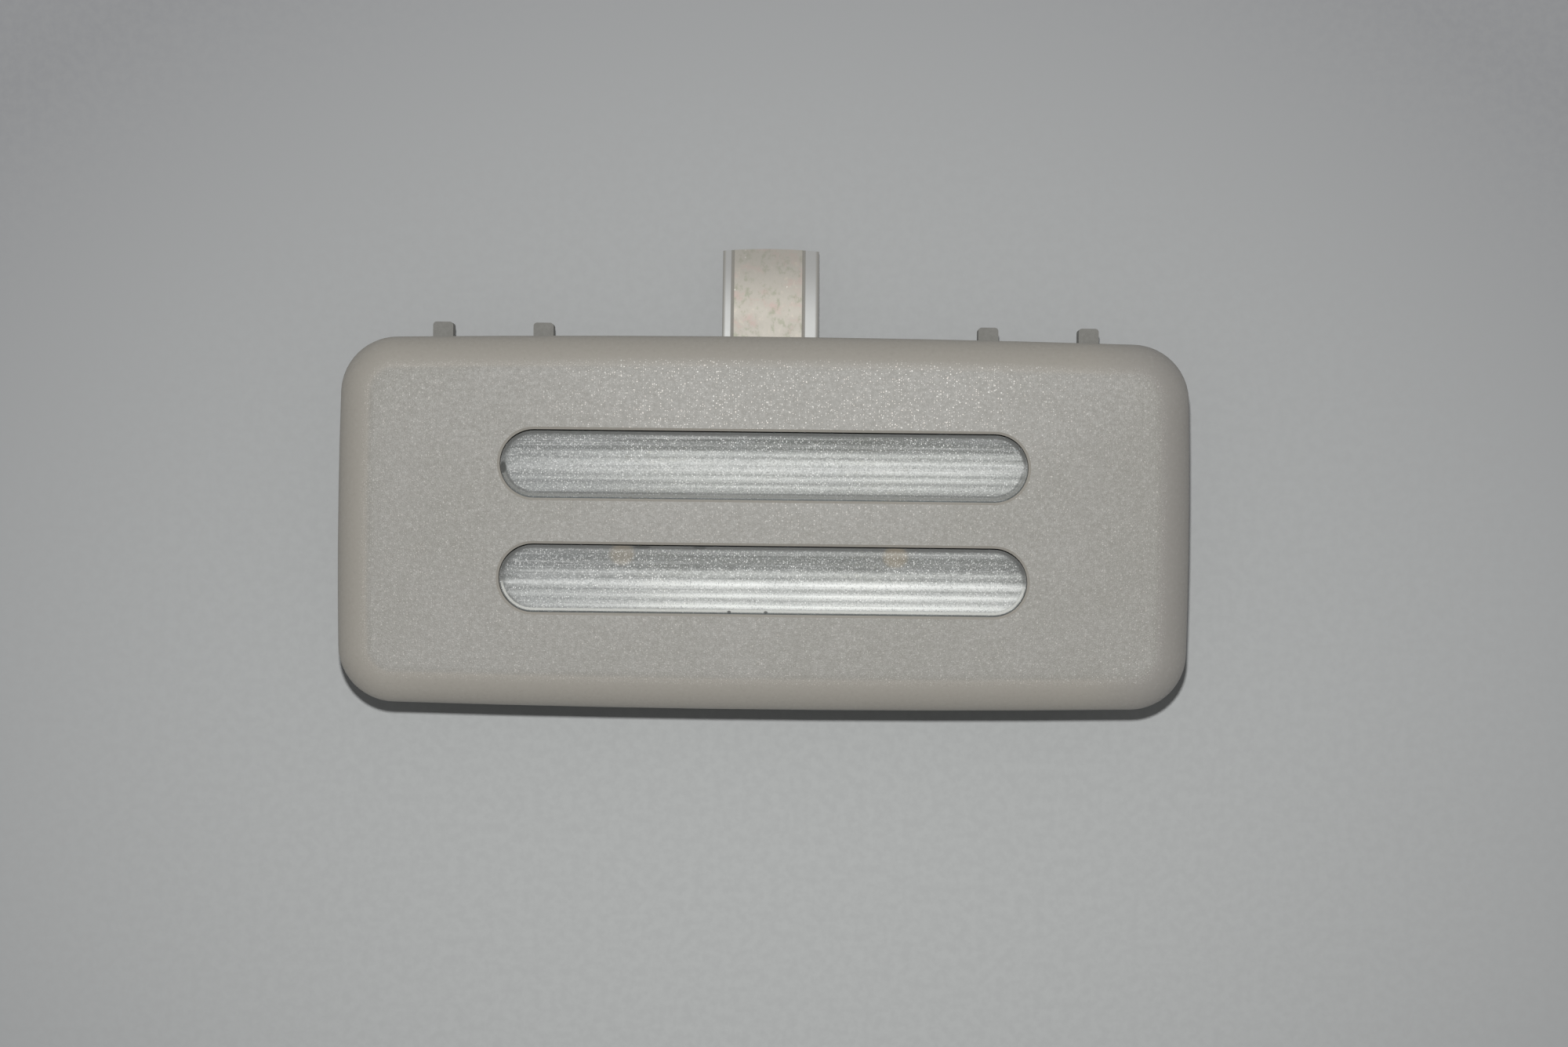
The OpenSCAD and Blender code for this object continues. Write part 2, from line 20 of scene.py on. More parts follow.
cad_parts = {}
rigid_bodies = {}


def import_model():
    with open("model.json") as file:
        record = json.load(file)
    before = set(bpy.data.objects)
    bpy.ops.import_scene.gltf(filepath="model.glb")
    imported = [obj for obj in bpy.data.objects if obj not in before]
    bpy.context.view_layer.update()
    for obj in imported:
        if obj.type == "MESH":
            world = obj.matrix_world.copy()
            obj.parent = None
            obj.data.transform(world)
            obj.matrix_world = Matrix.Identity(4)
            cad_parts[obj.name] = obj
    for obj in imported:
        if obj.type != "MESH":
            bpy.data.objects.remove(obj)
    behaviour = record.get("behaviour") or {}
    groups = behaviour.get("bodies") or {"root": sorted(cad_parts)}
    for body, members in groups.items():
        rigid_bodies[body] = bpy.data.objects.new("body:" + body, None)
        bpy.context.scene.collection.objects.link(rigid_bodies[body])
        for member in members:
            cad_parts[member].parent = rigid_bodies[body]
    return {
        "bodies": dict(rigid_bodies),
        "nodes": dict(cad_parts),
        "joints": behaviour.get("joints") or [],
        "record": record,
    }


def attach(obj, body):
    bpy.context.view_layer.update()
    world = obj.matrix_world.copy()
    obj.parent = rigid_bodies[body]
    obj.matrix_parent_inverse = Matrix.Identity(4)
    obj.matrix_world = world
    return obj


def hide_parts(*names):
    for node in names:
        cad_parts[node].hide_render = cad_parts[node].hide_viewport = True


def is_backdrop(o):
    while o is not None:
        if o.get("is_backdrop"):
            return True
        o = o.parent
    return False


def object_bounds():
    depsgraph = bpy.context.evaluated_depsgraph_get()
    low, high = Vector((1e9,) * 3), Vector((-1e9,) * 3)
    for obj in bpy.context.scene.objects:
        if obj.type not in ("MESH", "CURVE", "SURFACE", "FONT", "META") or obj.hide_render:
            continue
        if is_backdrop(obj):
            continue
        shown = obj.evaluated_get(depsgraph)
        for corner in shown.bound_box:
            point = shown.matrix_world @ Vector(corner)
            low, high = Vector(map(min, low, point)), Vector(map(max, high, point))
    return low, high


log = logging.getLogger("interior_light")

MM = 0.001
Triple = tuple[float, float, float]
Colour = Triple
Span = tuple[float, float]
Stops = Sequence[tuple[float, Colour]]
Socket = bpy.types.NodeSocket
Source = Union[Socket, float, Colour]

# Levels between which most of a noise pattern lies.
NOISE_LEVELS: Span = (0.3, 0.7)


def linear(red: float, green: float, blue: float) -> Colour:
    """Turns a display colour into the linear one that a shader takes.

    Args:
        red: Display value from 0 to 255.
        green: Display value from 0 to 255.
        blue: Display value from 0 to 255.

    Returns:
        The three linear values.
    """
    def one(value: float) -> float:
        """Linear value of one display value."""
        v = value / 255
        return v / 12.92 if v <= 0.04045 else ((v + 0.055) / 1.055) ** 2.4

    return one(red), one(green), one(blue)


class Axis(Enum):
    """An axis of the lamp's own frame."""

    X = 0
    Y = 1
    Z = 2


class Side(Enum):
    """Side of the lamp, as the photograph shows it."""

    LEFT = "left"
    RIGHT = "right"


class Row(Enum):
    """Long edge of the lamp that a piece lies near."""

    UPPER = "upper"
    LOWER = "lower"


class Sum(Enum):
    """What a Math node works out."""

    ADD = "ADD"
    SUBTRACT = "SUBTRACT"
    MULTIPLY = "MULTIPLY"
    DIVIDE = "DIVIDE"
    MULTIPLY_ADD = "MULTIPLY_ADD"
    MAXIMUM = "MAXIMUM"
    ABSOLUTE = "ABSOLUTE"
    SQUARE_ROOT = "SQRT"
    GREATER_THAN = "GREATER_THAN"


@dataclass(frozen=True)
class Grain:
    """Size and shape of one noise pattern.

    A stretch below 1 draws it out along that axis. The turn is about Z, in degrees.
    """

    size: float
    detail: float = 2.0
    rough: float = 0.5
    stretch: Triple = (1.0, 1.0, 1.0)
    turn: float = 0.0


@dataclass(frozen=True)
class Tint:
    """Tone that covers others from the first level of a value to the second."""

    tone: Colour
    at: Span
    share: float = 1.0


@dataclass(frozen=True)
class Specks:
    """Small specks of one tone, round some of the points that are scattered over a surface.

    The spot runs from a speck's edge to its full tone, as distances in gaps. The other
    span is of a random value from 0 to 1, and says which points get a speck.
    """

    tone: Colour
    gap: float
    spot: Span
    chosen: Span
    share: float = 1.0


class Recipe:
    """One finish's node tree, built up round its Principled shader."""

    def __init__(self, name: str) -> None:
        """Starts a material that holds a Principled shader and its output.

        Args:
            name: Name of the material.
        """
        self.material = bpy.data.materials.new(name)
        self.material.use_nodes = True
        self.tree = self.material.node_tree
        self.tree.nodes.clear()
        self.output = self.tree.nodes.new("ShaderNodeOutputMaterial")
        self.shader = self.tree.nodes.new("ShaderNodeBsdfPrincipled")
        self.join(self.shader.outputs["BSDF"], self.output.inputs["Surface"])
        where = self.tree.nodes.new("ShaderNodeTexCoord")
        self.place = where.outputs["Object"]
        self.normal = where.outputs["Normal"]

    def join(self, source: Source, target: Socket) -> None:
        """Links two sockets, or sets a plain value on the second.

        Args:
            source: Socket that gives the value, or the value.
            target: Socket that takes it.
        """
        if isinstance(source, bpy.types.NodeSocket):
            self.tree.links.new(source, target)
        else:
            target.default_value = source

    def set(self, **values: float | Colour) -> None:
        """Sets constants on the shader's own sockets, named with _ for a space.

        Args:
            values: Value of each socket. A colour has three values.
        """
        for name, value in values.items():
            socket = self.shader.inputs[name.replace("_", " ")]
            socket.default_value = (*value, 1.0) if isinstance(value, tuple) else value

    def colour(self, source: Source) -> None:
        """Joins a colour to the shader."""
        self.join(source, self.shader.inputs["Base Color"])

    def roughness(self, source: Source) -> None:
        """Joins a roughness to the shader."""
        self.join(source, self.shader.inputs["Roughness"])

    def along(self, axis: Axis, vector: Optional[Socket] = None) -> Socket:
        """One component of a vector.

        Args:
            axis: The component.
            vector: The vector, where it isn't the object coordinates.

        Returns:
            The value socket.
        """
        node = self.tree.nodes.new("ShaderNodeSeparateXYZ")
        self.join(self.place if vector is None else vector, node.inputs["Vector"])
        return node.outputs[axis.value]

    def beyond(self, axis: Axis, start: float) -> Socket:
        """Object coordinate along an axis, counted from a place on it."""
        return self.sum(Sum.SUBTRACT, self.along(axis), start)

    def noise(self, grain: Grain) -> Socket:
        """Noise from 0 to 1.

        Args:
            grain: Its size and shape.

        Returns:
            The value socket.
        """
        node = self.tree.nodes.new("ShaderNodeTexNoise")
        node.inputs["Scale"].default_value = 1 / grain.size
        node.inputs["Detail"].default_value = grain.detail
        node.inputs["Roughness"].default_value = grain.rough
        vector = self.place
        if grain.stretch != (1.0, 1.0, 1.0):
            shape = self.tree.nodes.new("ShaderNodeMapping")
            shape.vector_type = "POINT"
            shape.inputs["Scale"].default_value = grain.stretch
            shape.inputs["Rotation"].default_value = (0.0, 0.0, math.radians(grain.turn))
            self.join(self.place, shape.inputs["Vector"])
            vector = shape.outputs["Vector"]
        self.join(vector, node.inputs["Vector"])
        return node.outputs["Fac"]

    def cells(self, size: float) -> tuple[Socket, Socket]:
        """Points scattered over X and Y.

        Args:
            size: Mean distance between two points, in metres.

        Returns:
            The distance to the nearest point, in cells, and a colour that differs from
            point to point.
        """
        node = self.tree.nodes.new("ShaderNodeTexVoronoi")
        node.voronoi_dimensions = "2D"
        node.inputs["Scale"].default_value = 1 / size
        self.join(self.place, node.inputs["Vector"])
        return node.outputs["Distance"], node.outputs["Color"]

    def sum(self, kind: Sum, first: Source, second: Source = 0.0, third: Source = 0.0) -> Socket:
        """Result of one Math node.

        Args:
            kind: What the node works out.
            first: First socket or value.
            second: Second socket or value.
            third: Third socket or value.

        Returns:
            The value socket.
        """
        node = self.tree.nodes.new("ShaderNodeMath")
        node.operation = kind.value
        for socket, value in zip(node.inputs, (first, second, third)):
            self.join(value, socket)
        return node.outputs["Value"]

    def product(self, first: Source, *others: Source) -> Socket:
        """Product of several values.

        Args:
            first: First socket or value.
            others: The other sockets or values.

        Returns:
            The value socket.
        """
        result = first
        for factor in others:
            result = self.sum(Sum.MULTIPLY, result, factor)
        return result

    def largest(self, first: Source, *others: Source) -> Socket:
        """Largest of several values.

        Args:
            first: First socket or value.
            others: The other sockets or values.

        Returns:
            The value socket.
        """
        result = first
        for value in others:
            result = self.sum(Sum.MAXIMUM, result, value)
        return result

    def spread(self, centre: Span, squash: float) -> Socket:
        """Square of the distance from a point in plan, with X counted for less.

        Args:
            centre: The point's X and Y, in metres.
            squash: Share of X's square that counts.

        Returns:
            The value socket, in square metres.
        """
        dx = self.beyond(Axis.X, centre[0])
        dy = self.beyond(Axis.Y, centre[1])
        return self.sum(Sum.MULTIPLY_ADD, dy, dy, self.product(dx, dx, squash))

    def step(self, value: Source, span: Span, to: Span = (0.0, 1.0)) -> Socket:
        """Smooth step of a value between two levels.

        Args:
            value: Socket to map.
            span: Level at which the step starts, and the one at which it is complete. The
                first may be the larger.
            to: Results at the two levels and past them.

        Returns:
            The value socket.
        """
        node = self.tree.nodes.new("ShaderNodeMapRange")
        node.interpolation_type = "SMOOTHSTEP"
        for name, number in zip(("From Min", "From Max", "To Min", "To Max"), (*span, *to)):
            node.inputs[name].default_value = number
        self.join(value, node.inputs["Value"])
        return node.outputs["Result"]

    def ramp(self, value: Source, stops: Stops) -> Socket:
        """Colour ramp through a list of stops.

        Args:
            value: Socket from 0 to 1.
            stops: Place and colour of each stop, in order.

        Returns:
            The colour socket.
        """
        node = self.tree.nodes.new("ShaderNodeValToRGB")
        elements = node.color_ramp.elements
        for i, (place, tint) in enumerate(stops):
            stop = elements[i] if i < 2 else elements.new(place)
            stop.position = place
            stop.color = (*tint, 1.0)
        self.join(value, node.inputs["Fac"])
        return node.outputs["Color"]

    def mix(self, amount: Source, first: Source, second: Source) -> Socket:
        """Mix of two colours.

        Args:
            amount: Share of the second, a socket or a value.
            first: Colour, a socket or three values.
            second: Colour, a socket or three values.

        Returns:
            The colour socket.
        """
        node = self.tree.nodes.new("ShaderNodeMix")
        node.data_type = "RGBA"
        node.clamp_factor = True
        self.join(amount, node.inputs[0])
        for socket, value in ((node.inputs[6], first), (node.inputs[7], second)):
            self.join((*value, 1.0) if isinstance(value, tuple) else value, socket)
        return node.outputs[2]

    def tinted(self, colour: Source, value: Source, tint: Tint, *masks: Source) -> Socket:
        """Lays a tint over a colour.

        Args:
            colour: Colour below the tint.
            value: Socket that says where the tint lies.
            tint: The tint.
            masks: Values from 0 to 1 that hold it back.

        Returns:
            The colour socket.
        """
        amount = self.product(self.step(value, tint.at, (0.0, tint.share)), *masks)
        return self.mix(amount, colour, tint.tone)

    def speckled(self, colour: Source, specks: Specks, *masks: Source) -> Socket:
        """Scatters specks over a colour.

        Args:
            colour: Colour below the specks.
            specks: The specks.
            masks: Values from 0 to 1 that hold them back.

        Returns:
            The colour socket.
        """
        distance, value = self.cells(specks.gap)
        chosen = self.step(self.along(Axis.X, value), specks.chosen, (0.0, specks.share))
        amount = self.product(self.step(distance, specks.spot), chosen, *masks)
        return self.mix(amount, colour, specks.tone)

    def bump(self, height: Source, depth: float) -> None:
        """Relief from a height, joined to the shader's normal.

        Args:
            height: Socket from 0 to 1.
            depth: Depth of the relief, in metres.
        """
        node = self.tree.nodes.new("ShaderNodeBump")
        node.inputs["Strength"].default_value = 1.0
        node.inputs["Distance"].default_value = depth
        self.join(height, node.inputs["Height"])
        self.join(node.outputs["Normal"], self.shader.inputs["Normal"])

    def let_light_through(self, tint: Colour, share: float) -> None:
        """Lets the lamp's light pass to what lies behind, as a clear moulding does.

        Only rays that look for the lamp see the surface as clear; the rest see the shader.

        Args:
            tint: Colour that the light takes.
            share: Share of it that passes.
        """
        clear = self.tree.nodes.new("ShaderNodeBsdfTransparent")
        clear.inputs["Color"].default_value = (*[c * share for c in tint], 1.0)
        path = self.tree.nodes.new("ShaderNodeLightPath")
        blend = self.tree.nodes.new("ShaderNodeMixShader")
        self.join(path.outputs["Is Shadow Ray"], blend.inputs[0])
        self.join(self.shader.outputs["BSDF"], blend.inputs[1])
        self.join(clear.outputs["BSDF"], blend.inputs[2])
        self.join(blend.outputs["Shader"], self.output.inputs["Surface"])


@dataclass(frozen=True)
class GrainedPlastic:
    """Warm grey moulded plastic: a grain on the flat face with painted glints and a painted highlight,
    plain elsewhere.
    """

    name: str = "bezel_grained_plastic"
    body: Colour = linear(141, 139, 133)
    shade: Tint = Tint(linear(137, 135, 128), (0.35, 0.68))
    rim: Colour = linear(155, 151, 143)
    # Painted shade that darkens the rim towards its right end.
    right_rim_shade: Tint = Tint(linear(144, 141, 136), (38 * MM, 50 * MM))
    mottle_light: Tint = Tint(linear(176, 174, 168), (0.5, 0.8), 0.2)
    mottle_dark: Tint = Tint(linear(122, 118, 111), (0.5, 0.2), 0.2)
    grain_light: Tint = Tint(linear(200, 199, 194), (0.5, 0.75), 0.22)
    grain_dark: Tint = Tint(linear(104, 101, 95), (0.5, 0.28), 0.22)
    # Tone of the painted highlight above the middle of the face.
    highlight_tone: Colour = linear(166, 165, 160)
    # Tones of the painted glints that the grain's specks give.
    glint_fleck: Colour = linear(240, 240, 235)
    warm_glint_fleck: Colour = linear(240, 230, 220)
    under: Colour = linear(118, 117, 112)
    cloud: Grain = Grain(14 * MM, 3.0, 0.55)
    mottle: Grain = Grain(0.45 * MM, 3.0, 0.65)
    fine: Grain = Grain(0.16 * MM, 2.0, 0.6)
    patches: Grain = Grain(7 * MM, 3.0, 0.6)
    patch_levels: Span = (0.38, 0.62)
    least_patch: float = 0.7
    relief: float = 0.03 * MM
    plain_relief: float = 0.25
    small_gap: float = 0.27 * MM
    small_bare: float = 0.64
    large_gap: float = 0.3915 * MM
    large_bare: float = 0.74
    bare_fade: float = 0.18
    fleck_radii: Span = (0.12, 0.32)
    fleck_edge: Span = (1.0, 0.4)
    glint_fleck_share: float = 0.7
    least_sparkle: float = 0.4
    highlight_share: float = 0.3
    # Place, reach and shape of the painted highlight.
    glint_at: Span = (6 * MM, 17 * MM)
    glint_reach: float = 21 * MM
    glint_core: float = 3 * MM
    glint_squash: float = 0.3
    face_z: Span = (6.2 * MM, 6.7 * MM)
    flat_facing: Span = (0.9, 0.985)
    level_facing: Span = (0.975, 0.999)
    relief_facing: Span = (0.9, 0.99)
    hidden_z: Span = (0.2 * MM, -0.4 * MM)
    hidden_dullness: float = 0.15
    dullness_levels: Span = (0.2, 0.8)
    dullness: Span = (0.58, 0.44)

    def glint(self, r: Recipe) -> Socket:
        """Paints a highlight above the middle of the face, where the painted glints are also denser.

        Args:
            r: Recipe of the finish.

        Returns:
            1 at its centre, falling to 0 at its reach.
        """
        square = r.spread(self.glint_at, self.glint_squash)
        return r.step(square, (self.glint_reach ** 2, self.glint_core ** 2))

    def glint_flecks(self, r: Recipe, gap: float, bare: float) -> tuple[Socket, Socket]:
        """Scatters painted glints: bright specks of several sizes.

        Args:
            r: Recipe of the finish.
            gap: Mean distance between two scattered points.
            bare: Level up to which a point stays bare, of a value from 0 to 1.

        Returns:
            The amount, and a value that differs from speck to speck.
        """
        distance, value = r.cells(gap)
        chosen = r.step(r.along(Axis.X, value), (bare, bare + self.bare_fade))
        radius = r.step(r.along(Axis.Z, value), (0.0, 1.0), self.fleck_radii)
        spot = r.step(r.sum(Sum.DIVIDE, distance, radius), self.fleck_edge)
        return r.product(spot, chosen), r.along(Axis.Y, value)

    def ground(self, r: Recipe, facing: Socket, raised: Socket, mottle: Socket) -> Socket:
        """Colours the moulding without its grain: cloudy on the face, lighter on the rim, with painted
        shade at the rim's right end.

        Args:
            r: Recipe of the finish.
            facing: How far a point faces the cabin, up to 1.
            raised: 1 at the height of the face.
            mottle: Noise that mottles face and rim alike.

        Returns:
            The colour socket.
        """
        face = r.tinted(self.body, r.noise(self.cloud), self.shade)
        rim = r.tinted(self.rim, r.along(Axis.X), self.right_rim_shade)
        tone = r.mix(r.product(r.step(facing, self.level_facing), raised), rim, face)
        tone = r.tinted(tone, mottle, self.mottle_light)
        return r.tinted(tone, mottle, self.mottle_dark)

    def sparkling(self, r: Recipe, tone: Socket, fine: Socket, flat: Socket) -> Socket:
        """Lays the grain, the painted highlight and the painted glints over the flat of the face.

        Args:
            r: Recipe of the finish.
            tone: Colour below them.
            fine: Noise of the grain.
            flat: 1 on the flat of the face.

        Returns:
            The colour socket.
        """
        tone = r.tinted(tone, fine, self.grain_light, flat)
        tone = r.tinted(tone, fine, self.grain_dark, flat)
        glint = self.glint(r)
        tone = r.mix(r.product(glint, flat, self.highlight_share), tone, self.highlight_tone)
        small, hue = self.glint_flecks(r, self.small_gap, self.small_bare)
        large, _ = self.glint_flecks(r, self.large_gap, self.large_bare)
        patch = r.step(r.noise(self.patches), self.patch_levels, (self.least_patch, 1.0))
        lit = r.sum(Sum.ADD, glint, self.least_sparkle)
        amount = r.product(r.largest(small, large), patch, flat, lit, self.glint_fleck_share)
        return r.mix(amount, tone, r.mix(hue, self.glint_fleck, self.warm_glint_fleck))

    def material(self) -> bpy.types.Material:
        """Builds the finish.

        Returns:
            The material.
        """
        r = Recipe(self.name)
        facing = r.along(Axis.Z, r.normal)
        raised = r.step(r.along(Axis.Z), self.face_z)
        flat = r.product(r.step(facing, self.flat_facing), raised)
        mottle = r.noise(self.mottle)
        fine = r.noise(self.fine)
        tone = self.sparkling(r, self.ground(r, facing, raised, mottle), fine, flat)
        hidden = r.step(r.along(Axis.Z), self.hidden_z)
        r.colour(r.mix(hidden, tone, self.under))
        dull = r.step(mottle, self.dullness_levels, self.dullness)
        r.roughness(r.sum(Sum.ADD, dull, r.product(hidden, self.hidden_dullness)))
        r.set(IOR=1.5, Specular_IOR_Level=0.5, Diffuse_Roughness=0.2)
        depth = r.step(facing, self.relief_facing, (self.plain_relief, 1.0))
        r.bump(r.product(fine, depth), self.relief)
        return r.material


@dataclass(frozen=True)
class Streaks:
    """Painted reflections along one bar, in lines as flutes draw them: dim near its upper edge only.
    """

    upper_edge: float
    first: float
    pitch: float
    count: int
    dim: float
    bright: float
    rise: Span
    dip: float
    height: float = 8.1 * MM
    least_dip: float = 0.3
    red_lack: float = 2
    blue_lack: float = 4
    wander: float = 0.1 * MM
    slow: Grain = Grain(11 * MM, 1.0, 0.5, (0.4, 1.0, 0.0))

    def stops(self) -> Stops:
        """Works out the lines, each with a darker gap below it.

        A line's level climbs from dim to bright between the two line numbers of rise.
        A gap is darker than its line by the share dip at the bright lines, and by
        least_dip of that share at the dim ones.

        Returns:
            Place across the bar, from 0 to 1, and colour of each line and each gap.
        """
        stops = []
        for i in range(self.count):
            t = min(max((i - self.rise[0]) / (self.rise[1] - self.rise[0]), 0.0), 1.0)
            lit = t * t * (3 - 2 * t)
            line = self.dim + (self.bright - self.dim) * lit
            gap = line * (1 - self.dip * (self.least_dip + (1 - self.least_dip) * lit))
            for place, level in ((i, line), (i + 0.5, gap)):
                at = (self.first + place * self.pitch) / self.height
                tone = linear(level - self.red_lack, level, level - self.blue_lack)
                stops.append((at, tone))
        return stops

    def colour(self, r: Recipe) -> Socket:
        """Lays the lines across the bar, a little unsteady along their length.

        Args:
            r: Recipe of the bar's finish.

        Returns:
            The colour socket.
        """
        shift = r.product(r.sum(Sum.SUBTRACT, r.noise(self.slow), 0.5), self.wander)
        y = r.sum(Sum.ADD, r.along(Axis.Y), shift)
        down = r.sum(Sum.DIVIDE, r.sum(Sum.SUBTRACT, self.upper_edge, y), self.height)
        return r.ramp(down, self.stops())


@dataclass(frozen=True)
class Mark:
    """Small soft-edged patch on the lens: painted shade in a gap, or a painted glint of the brass
    behind it.
    """

    x: float
    y: float
    half_x: float
    half_y: float
    # Dark tone of painted shade in a gap.
    tone: Colour = linear(70, 71, 69)
    share: float = 0.85
    edge: Span = (1.3, 0.4)

    def over(self, r: Recipe, colour: Socket) -> Socket:
        """Lays the patch over a colour.

        Args:
            r: Recipe of the finish.
            colour: Colour socket below the patch.

        Returns:
            The colour socket with the patch.
        """
        dx = r.sum(Sum.DIVIDE, r.beyond(Axis.X, self.x), self.half_x)
        dy = r.sum(Sum.DIVIDE, r.beyond(Axis.Y, self.y), self.half_y)
        far = r.sum(Sum.MULTIPLY_ADD, dx, dx, r.product(dy, dy))
        return r.tinted(colour, far, Tint(self.tone, self.edge, self.share))


@dataclass(frozen=True)
class FlutedClear:
    """Clear fluted moulding, whose bars have a nearly opaque front with painted reflection streaks,
    painted shade and painted glints.

    The radii are distances from a bar's middle line, in millimetres.
    """

    name: str = "lens_fluted_clear"
    clear: Colour = linear(236, 240, 242)
    # Tone of the painted glints where the brass contacts show behind the lens.
    brass: Colour = linear(178, 158, 124)
    upper: Streaks = Streaks(11.05 * MM, 0.55 * MM, 1.03 * MM, 7, 112, 206, (0.5, 2.6), 0.2)
    lower: Streaks = Streaks(-2.95 * MM, 0.58 * MM, 1.34 * MM, 6, 122, 255, (1.1, 3.0), 0.34)
    marks: tuple[Mark, ...] = (
        # Dark patches of painted shade in gaps at the bars' edges.
        Mark(-32.0 * MM, 6.5 * MM, 0.45 * MM, 0.75 * MM),
        Mark(-14.8 * MM, -3.1 * MM, 1.1 * MM, 0.22 * MM),
        Mark(-7.8 * MM, -3.1 * MM, 0.9 * MM, 0.22 * MM),
        Mark(-4.1 * MM, -10.95 * MM, 0.25 * MM, 0.2 * MM),
        Mark(0.4 * MM, -10.95 * MM, 0.25 * MM, 0.2 * MM),
        # Painted glints of the brass contacts behind the lens.
        Mark(-17.3 * MM, -4.0 * MM, 1.6 * MM, 1.4 * MM, brass, 0.2),
        Mark(16.2 * MM, -4.0 * MM, 1.6 * MM, 1.4 * MM, brass, 0.25))
    brightest_x: float = 8 * MM
    # Painted shade that dims the reflections away from their brightest place.
    falloff_shade: Tint = Tint(linear(114, 116, 116), (6 * MM, 44 * MM), 0.66)
    broad_lines: Grain = Grain(1.3 * MM, 3.0, 0.6, (0.012, 1.0, 1.0))
    broad_dark: Tint = Tint(linear(120, 121, 121), (0.5, 0.64), 0.16)
    broad_light: Tint = Tint(linear(232, 233, 232), (0.5, 0.36), 0.16)
    thin_lines: Grain = Grain(0.3 * MM, 3.0, 0.6, (0.012, 1.0, 1.0))
    thin_dark: Tint = Tint(linear(120, 121, 121), (0.5, 0.72), 0.24)
    thin_light: Tint = Tint(linear(232, 233, 232), (0.5, 0.28), 0.24)
    clouds: Grain = Grain(5 * MM, 2.0, 0.5, (0.4, 1.0, 1.0))
    haze: Tint = Tint(linear(150, 152, 153), (0.5, 0.7), 0.16)
    fine: Grain = Grain(0.17 * MM, 2.0, 0.7)
    grain_light: Tint = Tint(linear(238, 239, 237), (0.53, 0.74), 0.74)
    grain_dark: Tint = Tint(linear(104, 106, 105), (0.49, 0.26), 0.66)
    clusters: Grain = Grain(4 * MM, 2.0, 0.5, (0.4, 1.0, 1.0))
    cluster_levels: Span = (0.3, 0.65)
    least_cluster: float = 0.4
    # Painted glints on the bars' grain.
    sparkle: Specks = Specks(linear(254, 254, 251), 0.25 * MM, (0.42, 0.1), (0.8, 0.92), 0.85)
    bar_half: float = 28.2 * MM
    pitch_half: float = 7 * MM
    up_mm: Span = (-1.5, 2.5)
    # Painted shade at the bars' upper edges, left ends and gaps.
    shade_radii: Span = (3.4, 3.8)
    least_shade: float = 0.4
    end_radii: Span = (3.1, 3.8)
    left_end: Span = (-27 * MM, -31 * MM)
    gap_radii: Span = (4.02, 4.08)
    edge_share: float = 0.7
    edge_shade: Colour = linear(96, 97, 95)
    below_levels: Span = (0.3, 0.0)
    # Painted shade line inside the upper bar's lower edge.
    shade_line_radii: tuple[Span, Span] = ((3.3, 3.45), (3.7, 3.55))
    shade_line_share: float = 0.6
    inner_shade_line: Colour = linear(100, 101, 99)
    # Painted light line along each bar's lower edge.
    glow_radii: tuple[Span, Span] = ((3.62, 3.72), (4.0, 3.94))
    glow_share: float = 0.75
    upper_glow: Colour = linear(134, 135, 131)
    lower_glow: Colour = linear(210, 211, 205)
    front_z: Span = (5.0 * MM, 5.2 * MM)
    front_clearness: float = 0.06
    orange_peel: Grain = Grain(0.5 * MM)
    dullness: Span = (0.36, 0.5)
    pitting: Grain = Grain(0.22 * MM)
    relief: float = 0.012 * MM
    passed: float = 0.9

    def streaked(self, r: Recipe, is_upper: Socket) -> Socket:
        """Paints the reflection streaks of both bars, with painted shade dimming them towards the
        ends, and fine lines in them.

        Args:
            r: Recipe of the finish.
            is_upper: 1 on the upper bar and 0 on the lower one.

        Returns:
            The colour socket.
        """
        tone = r.mix(is_upper, self.lower.colour(r), self.upper.colour(r))
        away = r.sum(Sum.ABSOLUTE, r.beyond(Axis.X, self.brightest_x))
        tone = r.tinted(tone, away, self.falloff_shade)
        for lines, dark, light in ((self.broad_lines, self.broad_dark, self.broad_light),
                                   (self.thin_lines, self.thin_dark, self.thin_light)):
            drawn = r.noise(lines)
            tone = r.tinted(tone, drawn, dark)
            tone = r.tinted(tone, drawn, light)
        return r.tinted(tone, r.noise(self.clouds), self.haze)

    def grained(self, r: Recipe, tone: Socket) -> Socket:
        """Lays the grain and its painted glints over a colour.

        Args:
            r: Recipe of the finish.
            tone: Colour below them.

        Returns:
            The colour socket.
        """
        fine = r.noise(self.fine)
        tone = r.tinted(tone, fine, self.grain_light)
        tone = r.tinted(tone, fine, self.grain_dark)
        cluster = r.step(r.noise(self.clusters), self.cluster_levels, (self.least_cluster, 1.0))
        return r.speckled(tone, self.sparkle, cluster)

    def from_middle(self, r: Recipe, is_upper: Socket) -> tuple[Socket, Socket]:
        """Distance from a bar's middle line, which ends at the centres of its round ends.

        Args:
            r: Recipe of the finish.
            is_upper: 1 on the upper bar and 0 on the lower one.

        Returns:
            The distance, and how far above the middle line a point lies, in millimetres.
        """
        middle = r.sum(Sum.MULTIPLY_ADD, is_upper, 2 * self.pitch_half, -self.pitch_half)
        up = r.sum(Sum.DIVIDE, r.sum(Sum.SUBTRACT, r.along(Axis.Y), middle), MM)
        past = r.sum(Sum.SUBTRACT, r.sum(Sum.ABSOLUTE, r.along(Axis.X)), self.bar_half)
        out = r.sum(Sum.DIVIDE, r.largest(past, 0.0), MM)
        square = r.sum(Sum.ADD, r.product(up, up), r.product(out, out))
        return r.sum(Sum.SQUARE_ROOT, square), up

